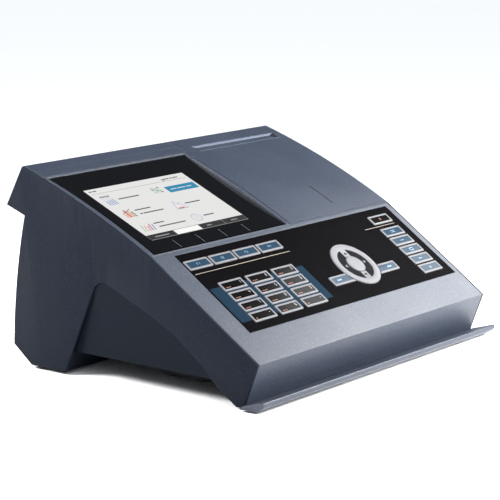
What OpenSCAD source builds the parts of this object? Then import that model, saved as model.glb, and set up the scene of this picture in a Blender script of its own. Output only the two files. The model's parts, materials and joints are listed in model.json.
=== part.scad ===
// Benchtop visible-light photometer with a sloping display, a keypad deck and a sliding cell lid.
// Frame: +X to the user's right, +Y away from the user, +Z up.
// Origin: middle of the overall box, on the table.
// Profile points are [y, z], with y counted from the front lip and z from the table.

/* [Body] */
// Overall depth, from the front lip to the rear overhang
overall_d = 314; // [300:1:380]
// Height of the rear top edge above the table
body_h = 196.5; // [185:0.5:230]
// Width of the body between its side walls, at the front and rear
body_w = 392; // [388:1:480]
// How far each side wall bows outwards half-way back
side_bulge = 3; // [1:0.5:6]
// Wall of the covers
wall = 3; // [2:0.5:4]
// Angle of the tub's sides, seen from above
tub_rake = 2.3; // [1.5:0.1:3]
// Angle of the tub's sides, seen from the front
tub_lean = 4; // [2:0.1:5]
// How far the front lip stands out past each side wall
lip_overhang = 6; // [0:0.5:10]
// Height of the body's lowest edge above the table
base_gap = 1.5; // [1:0.1:4]

/* [Top surfaces] */
// Crease between the display slope and the keypad deck
crease = [131.6, 126.4]; // [124:0.1:134]
// Front edge of the keypad deck
deck_front = [10.8, 43.2]; // [10:0.1:44]
// Crown of the display slope over its chord
top_crown = 4; // [2:0.5:6]

/* [Display] */
// Width of the glass
glass_w = 208.3; // [190:0.1:215]
// Left edge of the glass, measured from the middle of the body
glass_left = -190; // [-190:0.5:-180]
// Where the glass starts behind the crease
glass_front = 3.2; // [3:0.1:6]
// Depth of the glass along y
glass_d = 130.6; // [120:0.1:135]
// Thickness of the glass
glass_t = 2; // [1.5:0.5:3]
// Visible picture, width and height
screen = [149.8, 93]; // [80:0.1:155]

/* [Keypad] */
// Key cap, width and depth
key = [34.3, 11.9]; // [10:0.1:42]
// Height of a key cap above the overlay
key_proud = 0.7; // [0.4:0.1:1.2]
// Key travel
key_travel = 0.8; // [0.5:0.1:1]
// Gap round each key cap
key_gap = 0.35; // [0.3:0.05:0.5]
// Space between two function keys
fn_space = 2.8; // [2.4:0.1:4]
// Space between two number keys, across and down
num_space = [6.8, 2.25]; // [1.8:0.05:8]
// Radius of the navigation ring
ring_r = 28.8; // [25:0.1:35]
// Width of the ring's raised outer band
ring_band = 7.9; // [6:0.1:9]
// Radius of the confirm button in the ring's middle
ok_r = 10.9; // [10:0.1:14]

/* [Cell lid] */
// Left edge of the lid, measured from the middle of the body
lid_left = 23.4; // [23.4:0.1:30]
// Thickness of the lid
lid_t = 3; // [2.5:0.1:4]
// Gap between the lid and the bed it slides on
lid_gap = 0.35; // [0.3:0.05:0.6]
// Travel of the lid along its arc, in degrees
lid_travel = 6.4; // [5:0.1:6.4]

/* [Cells] */
// Radius of the well for round sample cells
well_r = 8.2; // [8:0.1:9]
// Depth of the round well
well_d = 62; // [50:1:64]
// Inside of the shaft for rectangular cells, across and deep
shaft = [53, 13]; // [10:0.5:60]
// Place of the round well, [x, y]
well_at = [117, 166]; // [100:1:170]
// Place of the rectangular shaft, [x, y]
shaft_at = [117, 205]; // [100:1:206]

/* [Interfaces] */
// Bore radius of the low-voltage inlet
inlet_r = 3.2; // [2.5:0.1:3.5]
// Opening of the USB host socket
usb_a = [13.2, 5.8]; // [5:0.1:14]
// Opening of the USB device socket
usb_b = [9, 8.4]; // [7:0.1:10]
// Opening of the network socket
lan = [12, 8.2]; // [8:0.1:14]

/* [Hidden] */
KEYS_FN = 4;
KEYS_NUM = 12;
KEYS_MENU = 5;

eps = 0.01;
arc_fn = 3600;
big = 600;
slate = [0.17, 0.20, 0.26];
slate_light = [0.36, 0.40, 0.46];
black = [0.02, 0.02, 0.025];
white = [0.86, 0.87, 0.88];
board_green = [0.05, 0.30, 0.16];

// ---- outline helpers -------------------------------------------------------------------------------
function cross2(a, b) = a[0] * b[1] - a[1] * b[0];
function meet(p, d, q, e) = p + d * cross2(q - p, e) / cross2(d, e);
function turn(p, angle) = [p[0] * cos(angle) - p[1] * sin(angle), p[0] * sin(angle) + p[1] * cos(angle)];
function fillet(a, c, b, r, n) =
    let (u = (a - c) / norm(a - c), w = (b - c) / norm(b - c), half = acos(u * w) / 2,
         centre = c + (u + w) / norm(u + w) * r / sin(half), start = c + u * r / tan(half) - centre,
         sweep = (180 - 2 * half) * sign(u[0] * w[1] - u[1] * w[0]) * -1)
    [for (i = [0:n]) centre + turn(start, sweep * i / n)];

// ---- the display slope is an arc of one radius, so that the lid slides along it --------------------
rear_top = [overall_d - 21.5, body_h];
chord = rear_top - crease;
arc_r = (pow(norm(chord) / 2, 2) + top_crown * top_crown) / (2 * top_crown);
chord_up = [-chord[1], chord[0]] / norm(chord);
arc_c = (crease + rear_top) / 2 - chord_up * (arc_r - top_crown);
function arc_angle(y) = asin((arc_c[0] - y) / arc_r);
function arc_point(r, angle) = [arc_c[0] - r * sin(angle), arc_c[1] + r * cos(angle)];
function arc_z(y) = arc_c[1] + sqrt(arc_r * arc_r - pow(y - arc_c[0], 2));
function arc_run(r, from, to, n) = [for (i = [0:n]) arc_point(r, from + (to - from) * i / n)];
module arc_disc(r) {
    translate(arc_c)
        circle(r, $fn = arc_fn);
}
front_angle = arc_angle(crease[0]);
rear_angle = arc_angle(rear_top[0]);
bed_r = arc_r - lid_t - lid_gap;
bed_under_r = bed_r - wall;

// ---- side profile -----------------------------------------------------------------------------------
neck = [overall_d - 23.8, 149];
heel = [overall_d - 7, 20.7];
leg_back = [overall_d - 30.5, base_gap + 1.5];
leg_front = [overall_d - 75.1, base_gap + 1.5];
arch_corner = [overall_d - 117.9, 99.8];
arch_fore = [130.8, 71.5];
overhang_tip = [overall_d, 157.2];
face_bottom = [26.4, base_gap];
edge_run = [[104.3, 57.5], [71.8, 32.3], [57.4, 18.3], [34.4, base_gap]];
arch_r = 12.5;
heel_bow = 3.5;
tub_floor = 23;

function rear_y(z) =
    let (t = (neck[1] - z) / (neck[1] - heel[1]))
    neck[0] + (heel[0] - neck[0]) * t + heel_bow * 4 * t * (1 - t);
rear_run = [for (i = [0:12]) let (z = neck[1] + (heel[1] - neck[1]) * i / 12) [rear_y(z), z]];
arch_run = fillet(leg_front, arch_corner, arch_fore, arch_r, 8);
outer_profile = concat([face_bottom, deck_front], arc_run(arc_r, front_angle, rear_angle, 24), [overhang_tip],
                       rear_run, [leg_back, leg_front], arch_run, [arch_fore], edge_run);

deck_angle = atan2(crease[1] - deck_front[1], crease[0] - deck_front[0]);
deck_wall = 3.5;
deck_dir = [cos(deck_angle), sin(deck_angle)];
deck_in = [deck_dir[1], -deck_dir[0]] * deck_wall;
face_dir = (deck_front - face_bottom) / norm(deck_front - face_bottom);
face_in = [face_dir[1], -face_dir[0]] * wall;
hang_dir = (overhang_tip - rear_top) / norm(overhang_tip - rear_top);
hang_in = [hang_dir[1], -hang_dir[0]] * wall;
soffit_dir = (neck - overhang_tip) / norm(neck - overhang_tip);
soffit_in = [soffit_dir[1], -soffit_dir[0]] * wall;
deep = -40;
inner_profile = concat(
    [face_bottom + face_in + face_dir * deep,
     meet(face_bottom + face_in, face_dir, deck_front + deck_in, deck_dir),
     crease + deck_in - deck_dir * 1.5],
    arc_run(bed_under_r, front_angle, rear_angle + 0.4, 24),
    [meet(arc_point(bed_under_r, rear_angle), [cos(rear_angle), sin(rear_angle)],
          rear_top + hang_in, hang_dir),
     meet(rear_top + hang_in, hang_dir, neck + soffit_in, soffit_dir),
     meet(neck + soffit_in, soffit_dir, neck - [wall, 0], [0, 1])],
    [for (p = rear_run) p - [wall, 0]],
    [leg_back + [-1.2, wall], leg_back + [-1.2, deep]]);
rear_split = overall_d - 34;

// ---- plan of the body: the sides bow outwards ------------------------------------------------------
plan_mid = 150;
plan_half = 150;
plan_r = (plan_half * plan_half + side_bulge * side_bulge) / (2 * side_bulge);
plan_x = body_w / 2 + side_bulge - plan_r;
function side(y) = plan_x + sqrt(plan_r * plan_r - pow(y - plan_mid, 2));
module plan_outline(inset) {
    intersection() {
        translate([plan_x, plan_mid])
            circle(plan_r - inset, $fn = arc_fn);
        translate([-plan_x, plan_mid])
            circle(plan_r - inset, $fn = arc_fn);
    }
}
module plan(inset = 0) {
    translate([0, 0, -50])
        linear_extrude(300)
            plan_outline(inset);
}
module across(w, x = 0) {
    translate([x, 0, 0])
        rotate([90, 0, 90])
            linear_extrude(w, center = true)
                children();
}
module span_x(x0, x1) {
    across(x1 - x0, (x0 + x1) / 2)
        children();
}
module arc_band(x0, x1, r0, r1, from, to) {
    span_x(x0, x1)
        intersection() {
            difference() {
                arc_disc(r1);
                arc_disc(r0);
            }
            polygon([arc_c, arc_point(big * 3, from), arc_point(big * 3, to)]);
        }
}
module block(a, b) {
    translate(a)
        cube(b - a);
}
module place() {
    translate([0, -overall_d / 2, 0])
        children();
}
module rounded(w, h, r) {
    square([w - 2 * r, h], center = true);
    square([w, h - 2 * r], center = true);
    for (sx = [-1, 1], sy = [-1, 1])
        translate([sx * (w / 2 - r), sy * (h / 2 - r)])
            circle(r, $fn = 32);
}

// ---- the keypad deck: u across, v down the slope from the crease, n outwards -----------------------
module on_deck(u, v, n) {
    translate([0, crease[0], crease[1]])
        rotate([deck_angle, 0, 0])
            translate([u, -v, n])
                children();
}
pad_top = -0.3;
pad_t = 1;
pad_margin = 2.7;
pad_front = 9.45;
left_margin = -165.3;
fn_top = 13.05;
num_u = -131.2;
num_top = 46.45;
menu_u = 158.8;
menu_top = 32.45;
nav = [55.4, 66.7];
soft_v = 80.4;
num_pitch = key + num_space;
function fn_at(i) = [left_margin + key[0] / 2 + i * (key[0] + fn_space), fn_top + key[1] / 2];
function num_at(i) = [num_u + (i % 3) * num_pitch[0], num_top + key[1] / 2 + floor(i / 3) * num_pitch[1]];
function menu_at(i) = [menu_u, menu_top + key[1] / 2 + i * num_pitch[1]];
power_at = [menu_u, fn_top + key[1] / 2];
key_places = concat([for (i = [0:KEYS_FN - 1]) fn_at(i)], [for (i = [0:KEYS_NUM - 1]) num_at(i)],
                    [for (i = [0:KEYS_MENU - 1]) menu_at(i)], [power_at]);
pad_u = [left_margin - pad_margin, 188];
pad_v = [3.6, menu_at(KEYS_MENU - 1)[1] + key[1] / 2 + pad_front];
flange = [1.6, 1.2];
flange_top = -4.2;
flange_t = 1;
cap_top = pad_top + key_proud;
ring_gap = 0.5;
soft_inner = ring_r + ring_gap + 0.6;
soft_x = 57.1 - key[0] / 2;

module key_windows(n0, n1) {
    for (p = key_places)
        on_deck(p[0], p[1], (n0 + n1) / 2)
            cube([key[0] + 2 * key_gap, key[1] + 2 * key_gap, n1 - n0], center = true);
    for (s = [-1, 1])
        on_deck(nav[0] + s * soft_x, soft_v, (n0 + n1) / 2)
            cube([key[0] + 2 * key_gap, key[1] + 2 * key_gap, n1 - n0], center = true);
    on_deck(nav[0], nav[1], n0)
        cylinder(r = ring_r + ring_gap, h = n1 - n0, $fn = 96);
}
module key_cap(at) {
    on_deck(at[0], at[1], flange_top - eps)
        translate([-key[0] / 2, -key[1] / 2, 0])
            cube([key[0], key[1], cap_top - flange_top + eps]);
    on_deck(at[0], at[1], flange_top - flange_t / 2)
        cube([key[0] + flange[0], key[1] + flange[1], flange_t], center = true);
}
module soft_key(s) {
    difference() {
        key_cap([nav[0] + s * soft_x, soft_v]);
        on_deck(nav[0], nav[1], -12)
            cylinder(r = soft_inner, h = 20, $fn = 96);
    }
}

// ---- main cover -------------------------------------------------------------------------------------
bezel_left = glass_left - 3.8;
bezel_right = glass_left + glass_w + 3.8;
bezel_gap = 0.3;
glass_y0 = crease[0] + glass_front;
glass_y1 = glass_y0 + glass_d;
rim = 1.4;
lid_front_y = crease[0] + 3.1;
lid_front_angle = arc_angle(lid_front_y);
runner_x = [34, 184];
runner_t = 2.4;
runner_from = arc_angle(142);
runner_to = arc_angle(176);
slot_play = 0.4;
tray_x = [60, 172];
tray_y = [141, 233];
window_x = 112;
window_z = [42, 134];

module key_deck_cuts() {
    on_deck((pad_u[0] + pad_u[1]) / 2, (pad_v[0] + pad_v[1]) / 2, pad_top - pad_t + 5)
        cube([pad_u[1] - pad_u[0] + 0.4, pad_v[1] - pad_v[0] + 0.4, 10], center = true);
    key_windows(-8, 1);
}
module lid_bed_cuts() {
    arc_band(lid_left - 0.9, big / 2, bed_r, arc_r + 20, lid_front_angle + 0.03, rear_angle - 3);
    block([tray_x[0], tray_y[0], 90], [tray_x[1], tray_y[1], 200]);
    for (x = runner_x)
        arc_band(x - runner_t / 2 - slot_play, x + runner_t / 2 + slot_play, bed_r - 12, bed_r + 1,
                 runner_from + 0.12, runner_to - lid_travel - 0.08);
}
module shell_part(from_y, to_y) {
    intersection() {
        across(big)
            difference() {
                polygon(outer_profile);
                polygon(inner_profile);
            }
        plan(wall);
        block([-big, from_y, -10], [big, to_y, big]);
    }
}
module top_cover() {
    color(slate_light)
        place()
            difference() {
                union() {
                    shell_part(-10, rear_split);
                    for (s = [-1, 1])
                        on_deck(nav[0] + s * boss_u, nav[1], -deck_wall - boss[2] + eps)
                            translate([-boss[0] / 2, -boss[1] / 2, 0])
                                cube(boss);
                }
                block([bezel_left - bezel_gap, glass_y0 - rim - bezel_gap, 100],
                      [bezel_right + bezel_gap, glass_y1 + rim + bezel_gap, 230]);
                key_deck_cuts();
                lid_bed_cuts();
                on_deck(nav[0], nav[1], gimbal_n)
                    rotate([0, 90, 0])
                        cylinder(r = trunnion_r + running_fit, h = big, center = true, $fn = 24);
            }
}
module side_walls() {
    color(slate_light)
        place()
            difference() {
                intersection() {
                    across(big)
                        polygon(outer_profile);
                    plan();
                }
                plan(wall);
                lid_bed_cuts();
            }
}
module rear_cover() {
    color(slate_light)
        place()
            difference() {
                shell_part(rear_split, overall_d + 10);
                lid_bed_cuts();
                block([-window_x, overall_d - 60, window_z[0]], [window_x, overall_d + 20, window_z[1]]);
            }
}

// ---- display: a flat glass in a bowed bezel --------------------------------------------------------
glass_sink = 0.7;
glass_angle = atan2(arc_z(glass_y1) - arc_z(glass_y0), glass_d);
module on_glass(u, v, n) {
    translate([0, glass_y0, arc_z(glass_y0) - glass_sink])
        rotate([glass_angle, 0, 0])
            translate([u, v, n])
                children();
}
glass_len = glass_d / cos(glass_angle);
fit = 0.15;
bezel_deep = 5.5;
module display_bezel() {
    color(slate_light)
        place()
            difference() {
                intersection() {
                    arc_band(bezel_left, bezel_right, arc_r - bezel_deep - top_crown, arc_r,
                             front_angle, rear_angle);
                    block([-big, glass_y0 - rim, 0], [big, glass_y1 + rim, 300]);
                }
                on_glass(glass_left, 0, -glass_t - fit)
                    cube([glass_w, glass_len, 30]);
                on_glass(glass_left + 6, 6, -30)
                    cube([glass_w - 12, glass_len - 12, 60]);
            }
}
module display_glass() {
    color(black)
        place()
            on_glass(glass_left + fit, fit, -glass_t - fit)
                cube([glass_w - 2 * fit, glass_len - 2 * fit, glass_t]);
}
screen_at = [-169, 21.3];
lcd_t = 7;
module lcd_module() {
    color([0.7, 0.75, 0.8])
        place()
            on_glass(screen_at[0] - 5, screen_at[1] - 5, -glass_t - fit - lcd_t)
                cube([screen[0] + 10, screen[1] + 10, lcd_t]);
}

// ---- lower shells -----------------------------------------------------------------------------------
lip_top = [0, 11.1];
lip_front = [0, 6.9];
lip_bottom = [6.8, base_gap];
module front_lip() {
    color(slate_light)
        place()
            across(body_w + 2 * lip_overhang)
                polygon([face_bottom, lip_bottom, lip_front, lip_top, lip_top + [1.2, 0.2],
                         face_bottom + face_dir * 3]);
}
leg_run = arch_corner - leg_front;
function on_leg(z) = leg_front + leg_run * (z - leg_front[1]) / leg_run[1];
tub_rear = on_leg(tub_floor);
skirt_t = 3;
module rear_skirt() {
    color(slate)
        place()
            intersection() {
                across(big)
                    polygon([leg_front, tub_rear, tub_rear + [skirt_t + 0.3, 0],
                             leg_front + [skirt_t * 1.1 + 0.2, skirt_t], leg_back + [-1.2, skirt_t],
                             leg_back + [-1.2, 0]]);
                plan(wall);
            }
}
tub_half = body_w / 2 + side_bulge - 0.4;
tub_rim = 8;
tub_nose = meet(edge_run[1], edge_run[2] - edge_run[1], [0, tub_floor], [1, 0]);
tub_toe = [37, base_gap];
tub_wall = 3;
tub_face = concat([tub_rear], arch_run, [arch_fore, edge_run[0], edge_run[1], tub_nose]);
tub_inside = [tub_rear, tub_rear + [tub_rim, 0], on_leg(80) + [tub_rim, 0],
              arch_corner + [tub_rim / 2, tub_rim], arch_fore + [0, tub_rim],
              edge_run[0] + [0, tub_rim], edge_run[1] + [0, tub_rim], [40, 12],
              [30.2, 5], face_bottom + [3.4, 0], tub_toe, tub_nose];
module tub_sides(inset = 0) {
    intersection_for(s = [0, 1])
        mirror([s, 0, 0])
            translate([tub_half - inset, 0, 0])
                rotate([0, tub_lean, tub_rake])
                    translate([-2 * big, -big, -big])
                        cube([2 * big, 2 * big, 2 * big]);
}
board_posts = [for (x = [-170, -30], y = [78, 190]) [x, y]];
hatch = [[56, 140], [176, 204]];
hatch_play = 0.3;
screw_at = [for (x = [-150, 0, 150], y = [90, 212]) [x, y]];
module base_tub() {
    color(slate)
        place() {
            difference() {
                intersection() {
                    union() {
                        intersection() {
                            across(big)
                                polygon(tub_face);
                            plan();
                        }
                        intersection() {
                            across(big)
                                polygon(tub_inside);
                            plan(wall);
                        }
                    }
                    tub_sides();
                }
                intersection() {
                    across(big)
                        polygon([tub_rear + [40, tub_wall], tub_rear + [40, 120], arch_fore + [-10, 60],
                                 [34, 60], [34, 6.2], tub_toe + [-1, 3.2], tub_nose + [-1, tub_wall]]);
                    plan(wall + tub_wall);
                    tub_sides(tub_wall);
                }
                block([hatch[0][0], hatch[1][0], 0], [hatch[0][1], hatch[1][1], 40]);
                for (p = screw_at)
                    translate([p[0], p[1], 0])
                        cylinder(r = 1.6, h = 60, $fn = 24);
            }
            for (p = board_posts)
                translate([p[0], p[1], tub_floor + 2.5])
                    cylinder(r = 4, h = 4.5, $fn = 24);
        }
}
module service_hatch() {
    color(slate)
        place()
            block([hatch[0][0] + hatch_play, hatch[1][0] + hatch_play, tub_floor],
                  [hatch[0][1] - hatch_play, hatch[1][1] - hatch_play, tub_floor + tub_wall]);
}
module case_screws() {
    color("silver")
        place()
            for (p = screw_at)
                translate([p[0], p[1], tub_floor - 2]) {
                    cylinder(r = 3.2, h = 2, $fn = 32);
                    cylinder(r = 1.45, h = 9, $fn = 24);
                }
}
pan_w = 288;
pan_y = [103, 169];
module base_pan() {
    color(black)
        place()
            translate([0, (pan_y[0] + pan_y[1]) / 2, base_gap + 0.5])
                linear_extrude(tub_floor - base_gap - 0.5)
                    rounded(pan_w, pan_y[1] - pan_y[0], 16);
}
foot_r = 7;
module rubber_feet() {
    color(black)
        place() {
            for (s = [-1, 1])
                translate([s * (body_w / 2 - 18), overall_d - 50, 0])
                    cylinder(r = foot_r, h = leg_back[1], $fn = 48);
            for (s = [-1, 1])
                block([s * 150 - 18, 12, 0], [s * 150 + 18, 22, base_gap]);
        }
}

// ---- rear panel, upright in a recess, and its sockets ---------------------------------------------
panel_y = overall_d - 30;
panel_t = 2;
panel_rim = 5;
usb_a_at = [70, 84];
usb_b_at = [40, 84];
lan_at = [5, 84];
inlet_at = [-40, 84];
rocker_at = [-80, 84];
rocker = [12, 18];
rocker_frame = 0.4;
socket_deep = 16;
module on_rear(at, out) {
    translate([at[0], panel_y + panel_t + out, at[1]])
        rotate([-90, 0, 0])
            children();
}
module rear_hole(at, opening, play) {
    on_rear(at, -5)
        translate([0, 0, 5])
            cube([opening[0] + play, opening[1] + play, 10], center = true);
}
module rear_panel() {
    color(slate)
        place()
            difference() {
                intersection() {
                    block([-window_x - panel_rim, panel_y, window_z[0] - panel_rim],
                          [window_x + panel_rim, overall_d, window_z[1] + panel_rim]);
                    across(big)
                        polygon(inner_profile);
                }
                block([-window_x, panel_y + panel_t, window_z[0]], [window_x, overall_d + 20, window_z[1]]);
                rear_hole(usb_a_at, usb_a, 3);
                rear_hole(usb_b_at, usb_b, 3);
                rear_hole(lan_at, lan, 4);
                rear_hole(rocker_at, rocker, 2 * rocker_frame);
                on_rear(inlet_at, -5)
                    cylinder(r = inlet_r + inlet_skin, h = 10, $fn = 48);
            }
}
module socket(at, opening, skin) {
    place()
        difference() {
            on_rear(at, -socket_deep)
                translate([0, 0, socket_deep / 2])
                    cube([opening[0] + 2 * skin, opening[1] + 2 * skin, socket_deep], center = true);
            on_rear(at, 2 - socket_deep)
                translate([0, 0, socket_deep / 2])
                    cube([opening[0], opening[1], socket_deep], center = true);
        }
}
module usb_a_socket() {
    color("silver")
        socket(usb_a_at, usb_a, 1.5);
}
module usb_b_socket() {
    color("silver")
        socket(usb_b_at, usb_b, 1.5);
}
module lan_socket() {
    color("silver")
        socket(lan_at, lan, 2);
}
inlet_skin = 2.3;
inlet_deep = 12;
module dc_inlet() {
    color(black)
        place()
            difference() {
                on_rear(inlet_at, -inlet_deep - 2)
                    cylinder(r = inlet_r + inlet_skin, h = inlet_deep + 2, $fn = 48);
                on_rear(inlet_at, -inlet_deep)
                    cylinder(r = inlet_r, h = 2 * inlet_deep, $fn = 48);
            }
}
rocker_r = rocker[1] / 2;
rocker_tilt = 6;
module power_rocker() {
    color(black)
        place()
            translate([rocker_at[0], panel_y, rocker_at[1]])
                rotate([-rocker_tilt, 0, 0])
                    across(rocker[0])
                        intersection() {
                            circle(rocker_r, $fn = 64);
                            polygon([[-6, -20], [rocker_r - 2.4, -20], [rocker_r - 5, 0],
                                     [rocker_r - 2.4, 20], [-6, 20]]);
                        }
}

// ---- keypad -----------------------------------------------------------------------------------------
module keypad_overlay() {
    color(black)
        place()
            difference() {
                on_deck(pad_u[0], pad_v[1], pad_top - pad_t)
                    cube([pad_u[1] - pad_u[0], pad_v[1] - pad_v[0], pad_t]);
                key_windows(-8, 4);
            }
}
mat_top = flange_top - flange_t - key_travel - 0.3;
mat_t = 1.2;
board_t = 1.6;
mat_size = [pad_u[1] - pad_u[0] - 6, pad_v[1] - pad_v[0] - 8];
module key_mat() {
    color("dimgray")
        place()
            difference() {
                on_deck(pad_u[0] + 2, pad_v[1] - 2, mat_top - mat_t)
                    cube([mat_size[0], mat_size[1], mat_t]);
                on_deck(nav[0], nav[1], mat_top - 5)
                    cylinder(r = lug_r + lug[1] + 1.5, h = 10, $fn = 64);
            }
}
module keypad_board() {
    color(board_green)
        place()
            on_deck(pad_u[0] + 2, pad_v[1] - 2, mat_top - mat_t - board_t)
                cube([mat_size[0], mat_size[1], board_t]);
}
module function_key(i) {
    color(white)
        place()
            key_cap(fn_at(i));
}
module number_key(i) {
    color(white)
        place()
            key_cap(num_at(i));
}
module menu_key(i) {
    color(white)
        place()
            key_cap(menu_at(i));
}
module power_key() {
    color(white)
        place()
            key_cap(power_at);
}
module left_key() {
    color(white)
        place()
            soft_key(-1);
}
module right_key() {
    color(white)
        place()
            soft_key(1);
}
ring_floor = -3.4;
ring_in = ok_r + 0.5;
gimbal_out = ring_in + 5;
gimbal_n = -5.2;
gimbal_t = 1.6;
trunnion_r = 0.8;
running_fit = 0.05;
boss = [4.5, 6, 2.7];
boss_u = ring_r + ring_gap + 0.4 + boss[0] / 2;
lug_r = gimbal_out + 0.6;
lug = [4, 3];
module nav_gimbal() {
    color("dimgray")
        place() {
            on_deck(nav[0], nav[1], gimbal_n - gimbal_t / 2)
                difference() {
                    cylinder(r = gimbal_out, h = gimbal_t, $fn = 64);
                    translate([0, 0, -1])
                        cylinder(r = ring_in + 0.5, h = gimbal_t + 2, $fn = 64);
                }
            for (s = [-1, 1])
                on_deck(nav[0], nav[1], gimbal_n)
                    rotate([0, s * 90, 0])
                        translate([0, 0, gimbal_out - 1])
                            cylinder(r = trunnion_r, h = boss_u + boss[0] / 2 - gimbal_out + 0.6, $fn = 24);
            for (s = [-1, 1])
                on_deck(nav[0], nav[1], gimbal_n)
                    rotate([s * 90, 0, 0])
                        translate([0, 0, gimbal_out - 1])
                            cylinder(r = trunnion_r, h = lug[1] + 1.6, $fn = 24);
        }
}
module nav_ring() {
    color(white)
        place()
            difference() {
                union() {
                    on_deck(nav[0], nav[1], ring_floor)
                        difference() {
                            cylinder(r = ring_r, h = cap_top + 0.5 - ring_floor, $fn = 96);
                            translate([0, 0, cap_top - 0.2 - ring_floor])
                                cylinder(r = ring_r - ring_band, h = 20, $fn = 96);
                        }
                    for (s = [-1, 1])
                        on_deck(nav[0], nav[1] + s * (lug_r + lug[1] / 2), (ring_floor + gimbal_n) / 2)
                            cube([lug[0], lug[1], ring_floor - gimbal_n + 1.6], center = true);
                }
                on_deck(nav[0], nav[1], -20)
                    cylinder(r = ring_in, h = 40, $fn = 64);
                on_deck(nav[0], nav[1], gimbal_n)
                    rotate([90, 0, 0])
                        cylinder(r = trunnion_r + running_fit, h = big, center = true, $fn = 24);
            }
}
module ok_button() {
    color(white)
        place()
            on_deck(nav[0], nav[1], flange_top - flange_t)
                cylinder(r = ok_r, h = cap_top + 0.9 - flange_top + flange_t, $fn = 64);
}

// ---- sliding lid over the cells ---------------------------------------------------------------------
groove_x = [43, 185];
groove_y = [266, 276.3];
groove_deep = 1.8;
mark_x = 117.5;
mark_y = [147.8, 177.6];
head_w = 6.8;
module cell_lid() {
    color(slate_light)
        place()
            difference() {
                union() {
                    intersection() {
                        arc_band(lid_left, big / 2, arc_r - lid_t, arc_r, lid_front_angle, rear_angle);
                        plan();
                    }
                    for (x = runner_x) {
                        arc_band(x - runner_t / 2, x + runner_t / 2, bed_under_r - 0.5, arc_r - lid_t + 0.5,
                                 runner_from, runner_to);
                        arc_band(x - head_w / 2, x + head_w / 2, bed_under_r - 2.4, bed_under_r - 0.4,
                                 runner_from, runner_to);
                    }
                }
                arc_band(groove_x[0], groove_x[1], arc_r - groove_deep, arc_r + 5,
                         arc_angle(groove_y[0]), arc_angle(groove_y[1]));
                arc_band(mark_x - 0.5, mark_x + 0.5, arc_r - 0.5, arc_r + 5,
                         arc_angle(mark_y[0]), arc_angle(mark_y[1]));
            }
}

// ---- cell compartment -------------------------------------------------------------------------------
tray_floor = 112;
tray_t = 2.5;
tray_play = 0.2;
well_wall = 4.8;
shaft_wall = 2.5;
bench_top = 36;
module cell_tray() {
    color(black)
        place()
            difference() {
                intersection() {
                    block([tray_x[0] + tray_play, tray_y[0] + tray_play, tray_floor - tray_t],
                          [tray_x[1] - tray_play, tray_y[1] - tray_play, 200]);
                    across(big)
                        arc_disc(bed_r - 0.4);
                }
                block([tray_x[0] + tray_t, tray_y[0] + tray_t, tray_floor],
                      [tray_x[1] - tray_t, tray_y[1] - tray_t, 220]);
                block([well_at[0] - well_half - block_fit, well_at[1] - well_half - block_fit, 60],
                      [well_at[0] + well_half + block_fit, well_at[1] + well_half + block_fit, 200]);
                block([shaft_at[0] - shaft_half[0] - block_fit, shaft_at[1] - shaft_half[1] - block_fit, 60],
                      [shaft_at[0] + shaft_half[0] + block_fit,
                       shaft_at[1] + shaft_half[1] + block_fit, 200]);
            }
}
well_half = well_r + well_wall;
shaft_half = shaft / 2 + [shaft_wall, shaft_wall];
block_fit = 0.2;
well_top = tray_floor + 1;
beam_z = 72;
beam_r = 3;
module round_cell_well() {
    color(black)
        place()
            difference() {
                block([well_at[0] - well_half, well_at[1] - well_half, bench_top],
                      [well_at[0] + well_half, well_at[1] + well_half, well_top]);
                translate([well_at[0], well_at[1], well_top - well_d])
                    cylinder(r = well_r, h = well_d + 5, $fn = 64);
                translate([well_at[0] - 20, well_at[1], beam_z])
                    rotate([0, 90, 0])
                        cylinder(r = beam_r, h = 40, $fn = 32);
            }
}
shaft_bottom = 62;
module rectangular_cell_shaft() {
    color(black)
        place()
            difference() {
                block([shaft_at[0] - shaft_half[0], shaft_at[1] - shaft_half[1], bench_top],
                      [shaft_at[0] + shaft_half[0], shaft_at[1] + shaft_half[1], well_top]);
                block([shaft_at[0] - shaft[0] / 2, shaft_at[1] - shaft[1] / 2, shaft_bottom],
                      [shaft_at[0] + shaft[0] / 2, shaft_at[1] + shaft[1] / 2, 200]);
                translate([shaft_at[0] - 40, shaft_at[1], beam_z])
                    rotate([0, 90, 0])
                        cylinder(r = beam_r, h = 80, $fn = 32);
            }
}

// ---- optics and electronics -------------------------------------------------------------------------
bench_x = [6, 186];
bench_y = [146, 222];
bench_z = [30, bench_top];
module optics_bench() {
    color("silver")
        place() {
            block([bench_x[0], bench_y[0], bench_z[0]], [bench_x[1], bench_y[1], bench_z[1]]);
            for (x = [bench_x[0] + 36, bench_x[1] - 12], y = [bench_y[0] + 10, bench_y[1] - 12])
                translate([x, y, tub_floor + 3])
                    cylinder(r = 4, h = bench_z[0] - tub_floor - 2.9, $fn = 32);
        }
}
lamp_at = [30, 168];
lamp_half = 18;
lamp_wall = 3;
lamp_room = lamp_half - lamp_wall;
lamp_top = 90;
module lamp_housing() {
    color("gray")
        place()
            difference() {
                block([lamp_at[0] - lamp_half, lamp_at[1] - lamp_half, bench_top],
                      [lamp_at[0] + lamp_half, lamp_at[1] + lamp_half, lamp_top]);
                block([lamp_at[0] - lamp_room, lamp_at[1] - lamp_room, bench_top + lamp_wall],
                      [lamp_at[0] + lamp_room, lamp_at[1] + lamp_room, lamp_top + 5]);
                translate([lamp_at[0], lamp_at[1], beam_z])
                    rotate([0, 90, 0])
                        cylinder(r = beam_r, h = 40, $fn = 32);
            }
}
module halogen_lamp() {
    color([0.9, 0.9, 0.85])
        place()
            translate([lamp_at[0], lamp_at[1], bench_top + 3]) {
                cylinder(r = 6, h = 20, $fn = 32);
                translate([0, 0, 20])
                    cylinder(r = 4.5, h = 18, $fn = 32);
                translate([0, 0, 38])
                    sphere(r = 4.5, $fn = 32);
            }
}
mono_x = [10, 84];
mono_y = [190, 221];
mono_top = 84;
mono_wall = 3;
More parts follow.
